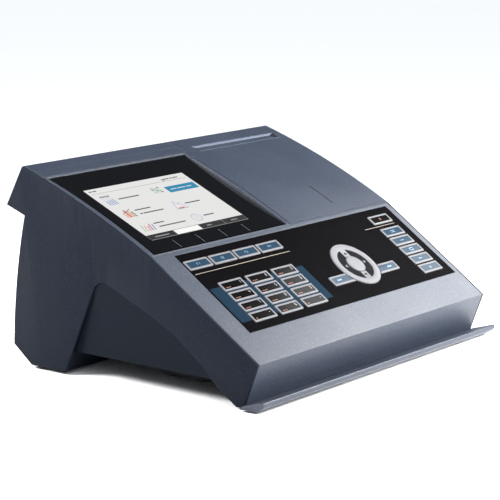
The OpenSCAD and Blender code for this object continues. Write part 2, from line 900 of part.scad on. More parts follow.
module monochromator() {
    color("dimgray")
        place()
            difference() {
                block([mono_x[0], mono_y[0], bench_top], [mono_x[1], mono_y[1], mono_top]);
                block([mono_x[0] + mono_wall, mono_y[0] + mono_wall, bench_top + mono_wall],
                      [mono_x[1] - mono_wall, mono_y[1] - mono_wall, mono_top - mono_wall]);
                translate([mono_x[1] - 10, shaft_at[1], beam_z])
                    rotate([0, 90, 0])
                        cylinder(r = beam_r, h = 20, $fn = 32);
                translate([grating_at[0], grating_at[1], mono_top - 5])
                    cylinder(r = 2.05, h = 10, $fn = 48);
            }
}
grating_at = [40, 205.5];
module grating() {
    color("gainsboro")
        place()
            translate([grating_at[0], grating_at[1], bench_top + 3.3]) {
                cylinder(r = 9, h = 3, $fn = 48);
                translate([-8, -1.5, 2.9])
                    cube([16, 3, 24]);
                cylinder(r = 2, h = mono_top - bench_top + 4, $fn = 48);
            }
}
module detector_board() {
    color(board_green)
        place() {
            block([162, 152, bench_top], [163.6, 216, 100]);
            for (y = [well_at[1], shaft_at[1]])
                translate([158, y, beam_z])
                    rotate([0, 90, 0])
                        cylinder(r = 5, h = 4.1, $fn = 32);
        }
}
module main_board() {
    color(board_green)
        place() {
            block([-178, 70, tub_floor + 7], [-22, 198, tub_floor + 8.6]);
            for (c = [[-150, 100, 22], [-110, 140, 30], [-70, 100, 18], [-60, 160, 24]])
                block([c[0], c[1], tub_floor + 8.5], [c[0] + c[2], c[1] + c[2], tub_floor + 11.6]);
        }
}

top_cover();
side_walls();
rear_cover();
display_bezel();
display_glass();
lcd_module();
front_lip();
rear_skirt();
base_tub();
base_pan();
rubber_feet();
rear_panel();
case_screws();
service_hatch();
keypad_overlay();
key_mat();
keypad_board();
for (i = [1:KEYS_FN]) function_key(i - 1);
for (i = [1:KEYS_NUM]) number_key(i - 1);
for (i = [1:KEYS_MENU]) menu_key(i - 1);
power_key();
left_key();
right_key();
nav_gimbal();
nav_ring();
ok_button();
cell_lid();
cell_tray();
round_cell_well();
rectangular_cell_shaft();
optics_bench();
lamp_housing();
halogen_lamp();
monochromator();
grating();
detector_board();
main_board();
usb_a_socket();
usb_b_socket();
lan_socket();
dc_inlet();
power_rocker();
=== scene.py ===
import json
import math

import bmesh
import bpy
from mathutils import Matrix, Vector


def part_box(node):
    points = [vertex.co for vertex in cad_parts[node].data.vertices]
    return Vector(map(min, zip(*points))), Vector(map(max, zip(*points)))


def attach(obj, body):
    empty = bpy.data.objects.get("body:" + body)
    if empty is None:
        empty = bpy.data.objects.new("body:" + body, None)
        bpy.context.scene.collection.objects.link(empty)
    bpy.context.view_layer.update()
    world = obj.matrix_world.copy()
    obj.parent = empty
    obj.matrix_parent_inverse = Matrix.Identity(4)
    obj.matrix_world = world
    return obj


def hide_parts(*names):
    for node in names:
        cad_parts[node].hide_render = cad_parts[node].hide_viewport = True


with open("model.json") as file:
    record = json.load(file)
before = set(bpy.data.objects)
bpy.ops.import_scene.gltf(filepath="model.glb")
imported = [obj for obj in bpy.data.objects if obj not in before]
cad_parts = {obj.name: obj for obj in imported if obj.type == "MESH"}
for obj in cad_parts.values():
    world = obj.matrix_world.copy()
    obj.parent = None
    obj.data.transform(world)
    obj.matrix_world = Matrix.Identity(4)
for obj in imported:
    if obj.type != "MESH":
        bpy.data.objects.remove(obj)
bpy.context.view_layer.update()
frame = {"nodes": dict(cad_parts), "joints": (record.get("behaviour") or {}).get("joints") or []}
NODES = frame["nodes"]
MM = 0.001
SKIN = 0.2 * MM


# ---- camera ------------------------------------------------------------------------------------------
YAW, PITCH, ROLL = math.radians(53.2097), math.radians(10.7033), math.radians(0.2248)
EYE = Vector((-1.64406, -1.21971, 0.48858))
LENS = 150.17
SENSOR = 36.0


def make_camera():
    forward = Vector((math.sin(YAW) * math.cos(PITCH), math.cos(YAW) * math.cos(PITCH), -math.sin(PITCH)))
    level = Vector((math.cos(YAW), -math.sin(YAW), 0.0))
    upright = level.cross(forward)
    right = level * math.cos(ROLL) + upright * math.sin(ROLL)
    up = upright * math.cos(ROLL) - level * math.sin(ROLL)
    data = bpy.data.cameras.new("camera")
    data.lens = LENS
    data.sensor_width = SENSOR
    data.clip_end = 60.0
    camera = bpy.data.objects.new("camera", data)
    bpy.context.scene.collection.objects.link(camera)
    turned = Matrix((right, up, -forward)).transposed().to_4x4()
    turned.translation = EYE
    camera.matrix_world = turned
    bpy.context.scene.camera = camera


# ---- light and floor ---------------------------------------------------------------------------------
FLOOR_SIZE = 40.0
FLOOR_Z = -0.0004


def softbox(name, place, target, size, power):
    data = bpy.data.lights.new(name, "AREA")
    data.shape = "RECTANGLE"
    data.size, data.size_y = size
    data.energy = power
    lamp = bpy.data.objects.new(name, data)
    lamp.location = place
    lamp.rotation_euler = (Vector(target) - Vector(place)).to_track_quat("-Z", "Y").to_euler()
    bpy.context.scene.collection.objects.link(lamp)


def studio_world():
    """A pale studio: bright above and in front, dark behind on the right, where the glass looks."""
    world = bpy.data.worlds.new("studio")
    bpy.context.scene.world = world
    world.use_nodes = True
    tree = world.node_tree
    add, link = tree.nodes.new, tree.links.new
    coord = add("ShaderNodeTexCoord")
    unit = add("ShaderNodeVectorMath")
    unit.operation = "NORMALIZE"
    link(coord.outputs["Generated"], unit.inputs[0])
    toward = add("ShaderNodeVectorMath")
    toward.operation = "DOT_PRODUCT"
    toward.inputs[1].default_value = Vector((-0.10, -0.62, 0.78)).normalized()
    link(unit.outputs["Vector"], toward.inputs[0])
    fade = add("ShaderNodeMapRange")
    fade.interpolation_type = "SMOOTHSTEP"
    fade.inputs["From Min"].default_value = 0.25
    fade.inputs["From Max"].default_value = 0.80
    fade.inputs["To Min"].default_value = 0.03
    fade.inputs["To Max"].default_value = 1.8
    link(toward.outputs["Value"], fade.inputs["Value"])
    background = tree.nodes["Background"]
    background.inputs["Color"].default_value = (0.93, 0.965, 1.0, 1)
    link(fade.outputs["Result"], background.inputs["Strength"])


def make_floor():
    half = FLOOR_SIZE / 2
    mesh = bpy.data.meshes.new("floor")
    corners = [(-half, -half, FLOOR_Z), (half, -half, FLOOR_Z), (half, half, FLOOR_Z), (-half, half, FLOOR_Z)]
    mesh.from_pydata(corners, [], [(0, 1, 2, 3)])
    floor = bpy.data.objects.new("floor", mesh)
    bpy.context.scene.collection.objects.link(floor)
    floor.data.materials.append(plain("floor_white", (0.97, 0.97, 0.97), 0.9, specular=0.0))


# ---- material helpers --------------------------------------------------------------------------------
def shader(name):
    material = bpy.data.materials.new(name)
    material.use_nodes = True
    tree = material.node_tree
    return material, tree, tree.nodes["Principled BSDF"]


def plain(name, colour, roughness, specular):
    material, tree, bsdf = shader(name)
    bsdf.inputs["Base Color"].default_value = (*colour, 1)
    bsdf.inputs["Roughness"].default_value = roughness
    bsdf.inputs["Specular IOR Level"].default_value = specular
    return material


def noise(tree, scale, detail=2.0, rough=0.5, stretch=None):
    """Noise in the object's own coordinates, with features about 1 / scale metres across."""
    coord = tree.nodes.new("ShaderNodeTexCoord")
    texture = tree.nodes.new("ShaderNodeTexNoise")
    texture.inputs["Scale"].default_value = scale
    texture.inputs["Detail"].default_value = detail
    texture.inputs["Roughness"].default_value = rough
    if stretch:
        mapping = tree.nodes.new("ShaderNodeMapping")
        mapping.inputs["Scale"].default_value = stretch
        tree.links.new(coord.outputs["Object"], mapping.inputs["Vector"])
        tree.links.new(mapping.outputs["Vector"], texture.inputs["Vector"])
    else:
        tree.links.new(coord.outputs["Object"], texture.inputs["Vector"])
    return texture.outputs["Fac"]


def span(tree, value, low, high, out_low, out_high):
    remap = tree.nodes.new("ShaderNodeMapRange")
    for key, number in zip(("From Min", "From Max", "To Min", "To Max"), (low, high, out_low, out_high)):
        remap.inputs[key].default_value = number
    tree.links.new(value, remap.inputs["Value"])
    return remap.outputs["Result"]


def mix(tree, factor, one, two):
    blend = tree.nodes.new("ShaderNodeMix")
    blend.data_type = "RGBA"
    for socket, value in ((blend.inputs[0], factor), (blend.inputs[6], one), (blend.inputs[7], two)):
        if isinstance(value, bpy.types.NodeSocket):
            tree.links.new(value, socket)
        elif isinstance(value, tuple):
            socket.default_value = (*value, 1)
        else:
            socket.default_value = value
    return blend.outputs[2]


def bump(tree, bsdf, height, depth, normal=None):
    node = tree.nodes.new("ShaderNodeBump")
    node.inputs["Distance"].default_value = depth
    tree.links.new(height, node.inputs["Height"])
    if normal:
        tree.links.new(normal, node.inputs["Normal"])
    tree.links.new(node.outputs["Normal"], bsdf.inputs["Normal"])


def tone(colour, factor):
    return tuple(min(1.0, c * factor) for c in colour)


def edge_mask(tree, radius):
    """1 along the rims and corners of a part, 0 on its flats, with the rounded normal."""
    rounded = tree.nodes.new("ShaderNodeBevel")
    rounded.samples = 4
    rounded.inputs["Radius"].default_value = radius
    geometry = tree.nodes.new("ShaderNodeNewGeometry")
    same = tree.nodes.new("ShaderNodeVectorMath")
    same.operation = "DOT_PRODUCT"
    tree.links.new(rounded.outputs["Normal"], same.inputs[0])
    tree.links.new(geometry.outputs["Normal"], same.inputs[1])
    return span(tree, same.outputs["Value"], 0.995, 0.85, 0.0, 1.0), rounded.outputs["Normal"]


def moulding(name, colour, roughness=0.45, grain=1100.0, depth=0.00006, speckle=0.25, highlight_strength=0.5, edge=0.0007,
             specular=0.5):
    """Painted moulded plastic: spark-eroded grain, metallic flecks, faint handling marks, and rims lightened
    as a painted highlight.
    """
    material, tree, bsdf = shader(name)
    fine = noise(tree, grain, 1.5, 0.6)
    broad = noise(tree, 9.0, 3.0, 0.55)
    flecks = noise(tree, grain * 0.75, 0.0, 0.5)
    base = mix(tree, span(tree, broad, 0.3, 0.7, 0.0, 1.0), tone(colour, 0.93), tone(colour, 1.07))
    base = mix(tree, span(tree, flecks, 0.50, 0.72, 0.0, speckle), base, tone(colour, 3.2))
    # painted highlight: the base colour is lightened along the rims and corners, standing in for light
    # catching the edges
    rims, rounded = edge_mask(tree, edge)
    rim_highlight = tree.nodes.new("ShaderNodeMath")
    rim_highlight.operation = "MULTIPLY"
    rim_highlight.inputs[1].default_value = highlight_strength
    tree.links.new(rims, rim_highlight.inputs[0])
    base = mix(tree, rim_highlight.outputs[0], base, tone(colour, 1.9))
    tree.links.new(base, bsdf.inputs["Base Color"])
    dulled = span(tree, broad, 0.25, 0.75, roughness - 0.05, roughness + 0.05)
    tree.links.new(dulled, bsdf.inputs["Roughness"])
    bsdf.inputs["Specular IOR Level"].default_value = specular
    bump(tree, bsdf, fine, depth, rounded)
    return material


def metal(name, colour, roughness, stretch, depth=0.00002):
    """Brushed or milled metal, its lines drawn out along one axis."""
    material, tree, bsdf = shader(name)
    lines = noise(tree, 2500.0, 2.0, 0.6, stretch)
    tree.links.new(mix(tree, lines, tone(colour, 0.85), tone(colour, 1.1)), bsdf.inputs["Base Color"])
    tree.links.new(span(tree, lines, 0.3, 0.7, roughness - 0.06, roughness + 0.08), bsdf.inputs["Roughness"])
    bsdf.inputs["Metallic"].default_value = 1.0
    bump(tree, bsdf, lines, depth)
    return material


def rubber(name, colour, roughness=0.85):
    material, tree, bsdf = shader(name)
    grit = noise(tree, 1800.0, 3.0, 0.7)
    tree.links.new(mix(tree, grit, tone(colour, 0.8), tone(colour, 1.5)), bsdf.inputs["Base Color"])
    bsdf.inputs["Roughness"].default_value = roughness
    bsdf.inputs["Specular IOR Level"].default_value = 0.3
    bump(tree, bsdf, grit, 0.00005)
    return material


def gloss(name, colour, roughness=0.12, smudge=0.05, specular=0.5):
    """Polished plastic or glass with the faintest smears."""
    material, tree, bsdf = shader(name)
    smears = noise(tree, 35.0, 4.0, 0.6, (1.0, 3.0, 1.0))
    tree.links.new(mix(tree, smears, tone(colour, 0.9), tone(colour, 1.1)), bsdf.inputs["Base Color"])
    tree.links.new(span(tree, smears, 0.3, 0.8, roughness, roughness + smudge), bsdf.inputs["Roughness"])
    bsdf.inputs["Specular IOR Level"].default_value = specular
    return material


def printed(name, colour, glow=0.0, roughness=0.4):
    """Printing ink or a lit picture element: even colour with a fine dot grain."""
    material, tree, bsdf = shader(name)
    dots = noise(tree, 2600.0, 1.0, 0.5)
    ink = mix(tree, span(tree, dots, 0.35, 0.65, 0.0, 1.0), tone(colour, 0.95), tone(colour, 1.03))
    bsdf.inputs["Roughness"].default_value = roughness
    if glow:
        bsdf.inputs["Base Color"].default_value = (0, 0, 0, 1)
        bsdf.inputs["Emission Strength"].default_value = glow
    tree.links.new(ink, bsdf.inputs["Emission Color" if glow else "Base Color"])
    return material


# ---- the two sloping planes --------------------------------------------------------------------------
class Slope:
    """A sloping plane's own axes from the frame's origin: u to the right, v down the slope, n outwards."""

    def __init__(self, normal):
        self.n = Vector(normal).normalized()
        self.u = Vector((1, 0, 0))
        self.v = self.u.cross(self.n)

    def at(self, u, v, n):
        return self.u * u + self.v * v + self.n * n

    def of(self, point):
        return point.dot(self.u), point.dot(self.v), point.dot(self.n)

    def points(self, node):
        return [self.of(vertex.co) for vertex in NODES[node].data.vertices]

    def top(self, node):
        """Lowest and highest u and v of a node's highest face, and its n."""
        points = self.points(node)
        level = max(p[2] for p in points)
        face = [p for p in points if p[2] > level - SKIN]
        us, vs = [p[0] for p in face], [p[1] for p in face]
        return min(us), max(us), min(vs), max(vs), level


def joint(name):
    return [j for j in frame["joints"] if j["name"] == name][0]


deck = Slope(-Vector(joint("function_key_1_press")["axis"]))
glass_points = [v.co for v in NODES["display_glass"].data.vertices]
glass_front = min(glass_points, key=lambda p: p.y)
glass_rear = max(glass_points, key=lambda p: p.z)
glass_rise = Vector((0, glass_rear.y - glass_front.y, glass_rear.z - glass_front.z))
glass = Slope(Vector((1, 0, 0)).cross(glass_rise))
NAV_U = sum(deck.top("ok_button")[0:2]) / 2
NAV_V = sum(deck.top("ok_button")[2:4]) / 2


# ---- mesh helpers ------------------------------------------------------------------------------------
def finish_piece(name, mesh, materials, body, replaced=(), smooth=35.0):
    """A new object from a bmesh, with its materials, its body and the CAD nodes it stands for."""
    data = bpy.data.meshes.new(name)
    bmesh.ops.recalc_face_normals(mesh, faces=mesh.faces)
    mesh.to_mesh(data)
    mesh.free()
    for material in materials:
        data.materials.append(material)
    piece = bpy.data.objects.new(name, data)
    bpy.context.scene.collection.objects.link(piece)
    if smooth:
        data.set_sharp_from_angle(angle=math.radians(smooth))
        for polygon in data.polygons:
            polygon.use_smooth = True
    if replaced:
        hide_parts(*replaced)
    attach(piece, body)
    return piece


def ring_of(mesh, plane, outline, n):
    return [mesh.verts.new(plane.at(u, v, n)) for u, v in outline]


def bridge(mesh, one, two, material):
    count = len(one)
    for i in range(count):
        j = (i + 1) % count
        mesh.faces.new((one[i], one[j], two[j], two[i])).material_index = material


def rounded_box(u0, u1, v0, v1, radius, inset=0.0, steps=5):
    """A rectangle with rounded corners, as points that run round it."""
    u0, u1, v0, v1 = u0 + inset, u1 - inset, v0 + inset, v1 - inset
    radius = max(radius - inset, 0.00015)
    corners = ((u1 - radius, v1 - radius, 0), (u0 + radius, v1 - radius, 90), (u0 + radius, v0 + radius, 180),
               (u1 - radius, v0 + radius, 270))
    points = []
    for cu, cv, start in corners:
        for step in range(steps + 1):
            angle = math.radians(start + 90 * step / steps)
            points.append((cu + radius * math.cos(angle), cv + radius * math.sin(angle)))
    return points


def circle(radius, steps=96, cu=0.0, cv=0.0):
    return [(cu + radius * math.cos(2 * math.pi * i / steps), cv + radius * math.sin(2 * math.pi * i / steps))
            for i in range(steps)]


def loft(mesh, plane, loops):
    """Stacks (outline, n, material) loops into one closed skin; the material is that of the band below."""
    rings = [ring_of(mesh, plane, outline, n) for outline, n, material in loops]
    for i in range(1, len(rings)):
        bridge(mesh, rings[i - 1], rings[i], loops[i][2])
    mesh.faces.new(rings[0]).material_index = loops[0][2]
    mesh.faces.new(rings[-1]).material_index = loops[-1][2]


def plate(mesh, plane, outline, n, thickness, material):
    """A thin flat plate with its upper side at n."""
    low = ring_of(mesh, plane, outline, n - thickness)
    high = ring_of(mesh, plane, outline, n)
    mesh.faces.new(low).material_index = material
    mesh.faces.new(high).material_index = material
    bridge(mesh, low, high, material)


def bar(u0, u1, v0, v1):
    return [(u0, v0), (u1, v0), (u1, v1), (u0, v1)]


def stroke(u0, v0, u1, v1, width):
    """A straight line of some width, as four points."""
    along = Vector((u1 - u0, v1 - v0)).normalized() * width / 2
    across = Vector((-along.y, along.x))
    a, b = Vector((u0, v0)), Vector((u1, v1))
    return [tuple(a - across), tuple(b - across), tuple(b + across), tuple(a + across)]


SEGMENTS = {"a": (0, 0, 1, 0), "b": (1, 0, 1, 1), "c": (1, 1, 1, 2), "d": (0, 2, 1, 2), "e": (0, 1, 0, 2),
            "f": (0, 0, 0, 1), "g": (0, 1, 1, 1)}
DIGITS = {"0": "abcdef", "1": "bc", "2": "abged", "3": "abgcd", "4": "fgbc", "5": "afgcd", "6": "afgedc",
          "7": "abc", "8": "abcdefg", "9": "abcdfg", "F": "afge", "-": "g"}


def figure(mesh, plane, sign, u, v, n, size, material):
    """One plain figure, size high, drawn with straight strokes from its upper left corner."""
    for key in DIGITS[sign]:
        x0, y0, x1, y1 = SEGMENTS[key]
        half = size / 2
        line = stroke(u + x0 * half, v + y0 * half, u + x1 * half, v + y1 * half, size * 0.14)
        plate(mesh, plane, line, n, INK_THICK, material)


# ---- keys --------------------------------------------------------------------------------------------
FRAME_W = 1.9 * MM
CAP_RADIUS = 0.7 * MM
CAP_ROUND = 0.18 * MM
SINK = 0.22 * MM
MARK = 0.05 * MM
INK_THICK = 0.03 * MM


def cap_outline(box, inset, cut):
    """A key's outline; cut = (side, radius) is the bite that the navigation ring takes out of it."""
    u0, u1, v0, v1 = box
    if cut is None:
        return rounded_box(u0, u1, v0, v1, CAP_RADIUS, inset)
    side, radius = cut
    radius += min(inset, CAP_ROUND)
    v0, v1 = v0 + inset, v1 - inset
    outer = u0 + inset if side < 0 else u1 - inset
    points = []
    for step in range(13):
        v = v0 + (v1 - v0) * step / 12
        points.append((NAV_U + side * math.sqrt(radius ** 2 - (v - NAV_V) ** 2), v))
    points.append((outer - side * CAP_RADIUS, v1))
    points.append((outer, v1 - CAP_RADIUS))
    points.append((outer, v0 + CAP_RADIUS))
    points.append((outer - side * CAP_RADIUS, v0))
    return points


def key_piece(node, centre, marks, cut=None):
    """A key: a pale frame round a sunk dark window with its printed marks. Replaces the CAD key."""
    u0, u1, v0, v1, level = deck.top(node)
    floor_n = min(p[2] for p in deck.points(node))
    box = (u0, u1, v0, v1)
    if cut is not None:
        points = [p for p in deck.points(node) if p[2] > level - SKIN]
        radius = min(math.hypot(p[0] - NAV_U, p[1] - NAV_V) for p in points)
        cut = (cut, radius)
    mesh = bmesh.new()
    loops = [(cap_outline(box, 0.0, cut), floor_n, 0), (cap_outline(box, 0.0, cut), level - CAP_ROUND, 0),
             (cap_outline(box, CAP_ROUND * 0.3, cut), level - CAP_ROUND * 0.3, 0),
             (cap_outline(box, CAP_ROUND, cut), level, 0),
             (cap_outline(box, FRAME_W, cut), level, 0),
             (cap_outline(box, FRAME_W + SINK * 0.5, cut), level - SINK, 0),
             (cap_outline(box, FRAME_W + SINK, cut), level - SINK, 1)]
    loft(mesh, deck, loops)
    marks(mesh, box, level - SINK + MARK)
    materials = [LOOKS["key_white"], LOOKS[centre], LOOKS["mark_grey"], LOOKS["mark_red"], LOOKS["mark_blue"]]
    finish_piece(node + "_cap", mesh, materials, node, (node,), smooth=30)


def function_mark(index):
    def draw(mesh, box, n):
        u, v, size = (box[0] + box[1]) / 2, (box[2] + box[3]) / 2, 2.5 * MM
        figure(mesh, deck, "F", u - 1.9 * MM, v - size / 2, n, size, 4)
        figure(mesh, deck, str(index), u + 0.5 * MM, v - size / 2, n, size, 4)
    return draw


def number_mark(index):
    sign = "123456789-0-"[index]

    def draw(mesh, box, n):
        size = 3.2 * MM
        figure(mesh, deck, sign, box[1] - 6.4 * MM, box[2] + 3.0 * MM, n, size, 2)
        for i in range(3 if sign != "-" else 1):
            u = box[0] + (5.0 + 2.6 * i) * MM
            v = box[3] - 4.4 * MM
            plate(mesh, deck, bar(u, u + 1.7 * MM, v, v + 1.1 * MM), n, INK_THICK, 3)
    return draw


def menu_mark(index):
    """Five plain signs: a bar pair, a dot row, a frame, an arrow and a plus."""
    def draw(mesh, box, n):
        u, v, w = (box[0] + box[1]) / 2, (box[2] + box[3]) / 2, 0.5 * MM
        shapes = {
            0: [stroke(u - 3.5 * MM, v - 1 * MM, u + 3.5 * MM, v - 1 * MM, w),
                stroke(u - 3.5 * MM, v + 1 * MM, u + 3.5 * MM, v + 1 * MM, w)],
            1: [bar(u + (i * 2 - 0.5) * MM, u + (i * 2 + 0.5) * MM, v - 0.5 * MM, v + 0.5 * MM)
                for i in (-1, 0, 1)],
            2: [stroke(u - 3 * MM, v - 1.5 * MM, u + 3 * MM, v - 1.5 * MM, w),
                stroke(u - 3 * MM, v + 1.5 * MM, u + 3 * MM, v + 1.5 * MM, w),
                stroke(u - 3 * MM, v - 1.5 * MM, u - 3 * MM, v + 1.5 * MM, w),
                stroke(u + 3 * MM, v - 1.5 * MM, u + 3 * MM, v + 1.5 * MM, w)],
            3: [stroke(u - 3 * MM, v, u + 3 * MM, v, w), stroke(u - 3 * MM, v, u - 1.6 * MM, v - 1.3 * MM, w),
                stroke(u - 3 * MM, v, u - 1.6 * MM, v + 1.3 * MM, w)],
            4: [stroke(u - 1.8 * MM, v, u + 1.8 * MM, v, w), stroke(u, v - 1.8 * MM, u, v + 1.8 * MM, w)],
        }
        for i, shape in enumerate(shapes[index]):
            plate(mesh, deck, shape, n + i * 0.000004, INK_THICK, 4)
    return draw


def power_mark(mesh, box, n):
    u, v = (box[0] + box[1]) / 2, (box[2] + box[3]) / 2
    plate(mesh, deck, circle(1.5 * MM, 24, u, v), n, INK_THICK, 3)
    plate(mesh, deck, circle(1.0 * MM, 24, u, v), n + 0.00001, INK_THICK, 1)
    plate(mesh, deck, bar(u - 0.25 * MM, u + 0.25 * MM, v - 2.2 * MM, v), n + 0.00002, INK_THICK, 3)


def side_mark(mesh, box, n):
    u, v = (box[0] + box[1]) / 2, (box[2] + box[3]) / 2
    shift = 4.5 * MM if u > NAV_U else -4.5 * MM
    for i in (-1, 0, 1):
        dash = u + shift + i * 2.4 * MM
        outline = bar(dash - 0.8 * MM, dash + 0.8 * MM, v - 0.9 * MM, v + 0.9 * MM)
        plate(mesh, deck, outline, n, INK_THICK, 4)


def make_keys():
    for i in range(1, 5):
        key_piece(f"function_key_{i}", "window_blue", function_mark(i))
    for i in range(1, 13):
        key_piece(f"number_key_{i}", "window_black", number_mark(i - 1))
    for i in range(1, 6):
        key_piece(f"menu_key_{i}", "window_blue", menu_mark(i - 1))
    key_piece("power_key", "window_black", power_mark)
    key_piece("left_key", "window_blue", side_mark, cut=-1)
    key_piece("right_key", "window_blue", side_mark, cut=1)


# ---- navigation ring and its button ------------------------------------------------------------------
RING_STEPS = 144
RING_STEP = 0.7 * MM
RING_ROUND = 0.25 * MM
SLIT_HALF = 4.45 * MM
ARROW = (2.3 * MM, 2.9 * MM)


def polar(radius, angle):
    return NAV_U + radius * math.cos(angle), NAV_V + radius * math.sin(angle)


def make_ring():
    points = deck.points("nav_ring")
    radii = [math.hypot(p[0] - NAV_U, p[1] - NAV_V) for p in points]
    top = max(p[2] for p in points)
    low = min(p[2] for p, r in zip(points, radii) if r > max(radii) - 0.0003)
    outer, inner = max(radii), min(radii)
    recess = min(r for p, r in zip(points, radii) if p[2] > top - SKIN)
    step_n = top - RING_STEP
    profile = [(inner, low), (inner, step_n - 0.15 * MM), (inner + 0.15 * MM, step_n),
               (recess - 0.1 * MM, step_n), (recess + 0.15 * MM, step_n + 0.1 * MM),
               (recess + 0.45 * MM, top - RING_ROUND), (recess + 1.2 * MM, top - 0.06 * MM),
               ((recess + outer) / 2, top), (outer - 1.1 * MM, top - 0.08 * MM),
               (outer - 0.35 * MM, top - RING_ROUND), (outer, step_n), (outer, low)]
    mesh = bmesh.new()
    loops = []
    for radius, n in profile:
        loops.append([mesh.verts.new(deck.at(*polar(radius, 2 * math.pi * i / RING_STEPS), n))
                      for i in range(RING_STEPS)])
    for k in range(len(loops)):
        bridge(mesh, loops[k], loops[(k + 1) % len(loops)], 0)
    # dark inlays to the left and right, with a straight-sided gap between them at the top and bottom
    for turn in (0, math.pi):
        arcs = []
        for radius in (recess - 0.05 * MM, inner + 0.15 * MM):
            reach = math.pi / 2 - math.asin(SLIT_HALF / radius)
            arcs.append([polar(radius, turn + reach * (i / 24 - 1)) for i in range(49)])
        rim = arcs[0] + arcs[1][::-1]
        low_ring = ring_of(mesh, deck, rim, step_n - 0.1 * MM)
        high_ring = ring_of(mesh, deck, rim, step_n + 0.08 * MM)
        bridge(mesh, low_ring, high_ring, 1)
        count = len(arcs[0])
        for ring in (low_ring, high_ring):
            for i in range(count - 1):
                quad = (ring[i], ring[i + 1], ring[2 * count - 2 - i], ring[2 * count - 1 - i])
                mesh.faces.new(quad).material_index = 1
    # arrowheads: pale on the inlays, dark in the gaps
    middle = (recess + inner) / 2 - 0.4 * MM
    for k, ink in ((0, 0), (1, 1), (2, 0), (3, 1)):
        angle = math.radians(90 * k)
        along = Vector((math.cos(angle), math.sin(angle)))
        across = Vector((-along.y, along.x))
        base = Vector((NAV_U, NAV_V)) + along * (middle - ARROW[1] / 2)
        tip = base + along * ARROW[1]
        head = [tuple(base - across * ARROW[0]), tuple(base + across * ARROW[0]), tuple(tip)]
        plate(mesh, deck, head, step_n + 0.12 * MM, 0.1 * MM, ink)
    finish_piece("nav_ring_cap", mesh, [LOOKS["key_white"], LOOKS["ring_black"]], "nav_ring",
                 ("nav_ring",), smooth=28)


def make_ok_button():
    points = deck.points("ok_button")
    radius = max(math.hypot(p[0] - NAV_U, p[1] - NAV_V) for p in points)
    top, low = max(p[2] for p in points), min(p[2] for p in points)
    profile = [(radius, low), (radius, top - 0.8 * MM), (radius - 0.15 * MM, top - 0.45 * MM),
               (radius - 0.6 * MM, top - 0.22 * MM), (radius - 2 * MM, top - 0.1 * MM),
               (radius * 0.5, top - 0.02 * MM)]
    mesh = bmesh.new()
    loops = [(circle(r, 96, NAV_U, NAV_V), n, 0) for r, n in profile]
    loft(mesh, deck, loops)
    finish_piece("ok_button_cap", mesh, [LOOKS["key_white"]], "ok_button", ("ok_button",),
                 smooth=28)


# ---- keypad overlay ----------------------------------------------------------------------------------
RULE_HALF = 0.28 * MM
RULE_INK = (0.30, 0.27, 0.22)


def box_mask(tree, coord, axis_u, axis_v, box):
    """1 inside a box given in a slope's own u and v, 0 outside."""
    u0, u1, v0, v1 = box
    masks = []
    for axis, low, high in ((axis_u, u0, u1), (axis_v, v0, v1)):
        along = tree.nodes.new("ShaderNodeVectorMath")
        along.operation = "DOT_PRODUCT"
        along.inputs[1].default_value = axis
        tree.links.new(coord.outputs["Object"], along.inputs[0])
        inside = tree.nodes.new("ShaderNodeMath")
        inside.operation = "COMPARE"
        inside.inputs[1].default_value = (low + high) / 2
        inside.inputs[2].default_value = (high - low) / 2
        tree.links.new(along.outputs["Value"], inside.inputs[0])
        masks.append(inside.outputs[0])
    both = tree.nodes.new("ShaderNodeMath")
    both.operation = "MULTIPLY"
    tree.links.new(masks[0], both.inputs[0])
    tree.links.new(masks[1], both.inputs[1])
    return both.outputs[0]


def overlay_look():
    """Black film with a printed blue field behind the number keys and two fine pale rules."""
    material, tree, bsdf = shader("overlay_film")
    coord = tree.nodes.new("ShaderNodeTexCoord")
    rows = [deck.top(f"number_key_{i}") for i in (1, 3, 10)]
    left, right = rows[0][0] - 16.6 * MM, rows[1][1] + 12.8 * MM
    field = (left, right, rows[0][2] + 4.8 * MM, rows[2][3] - 3.6 * MM)
    fn_left, fn_right = deck.top("function_key_1"), deck.top("function_key_4")
    rule_v = fn_left[3] + 5.6 * MM
    menu, power = deck.top("menu_key_1"), deck.top("power_key")
    menu_v = power[3] + 3.0 * MM
    rules = [(fn_left[0] + 1.2 * MM, fn_right[1] + 4.5 * MM, rule_v - RULE_HALF, rule_v + RULE_HALF),
             (menu[0] - 21.0 * MM, menu[1] - 0.5 * MM, menu_v - RULE_HALF, menu_v + RULE_HALF)]
    film = noise(tree, 1500.0, 2.0, 0.6)
    cloud = noise(tree, 12.0, 3.0, 0.5)
    base = mix(tree, cloud, (0.0012, 0.0011, 0.0014), (0.0024, 0.0022, 0.0028))
    blue = mix(tree, film, (0.006, 0.016, 0.028), (0.010, 0.023, 0.038))
    base = mix(tree, box_mask(tree, coord, deck.u, deck.v, field), base, blue)
    for line in rules:
        base = mix(tree, box_mask(tree, coord, deck.u, deck.v, line), base, RULE_INK)
    tree.links.new(base, bsdf.inputs["Base Color"])
    tree.links.new(span(tree, cloud, 0.3, 0.7, 0.40, 0.50), bsdf.inputs["Roughness"])
    bsdf.inputs["Specular IOR Level"].default_value = 0.006
    bump(tree, bsdf, film, 0.00009)
    return material


# ---- display -----------------------------------------------------------------------------------------
PICTURE = (149.8 * MM, 93 * MM)
PICTURE_LEFT = 21.0 * MM
PICTURE_UP = 21.3 * MM
INK = 0.02 * MM
PICTURE_INKS = (
    ("rule", (0.30, 0.30, 0.30)), ("text", (0.10, 0.10, 0.11)), ("teal", (0.012, 0.23, 0.42)),
    ("white", (0.93, 0.93, 0.92)), ("black", (0.006, 0.006, 0.007)), ("blue", (0.22, 0.28, 0.55)),
    ("brown", (0.10, 0.07, 0.05)), ("orange", (0.80, 0.40, 0.22)), ("red", (0.62, 0.12, 0.10)),
    ("green", (0.36, 0.62, 0.40)), ("violet", (0.42, 0.32, 0.55)), ("pale", (0.62, 0.68, 0.72)),
)


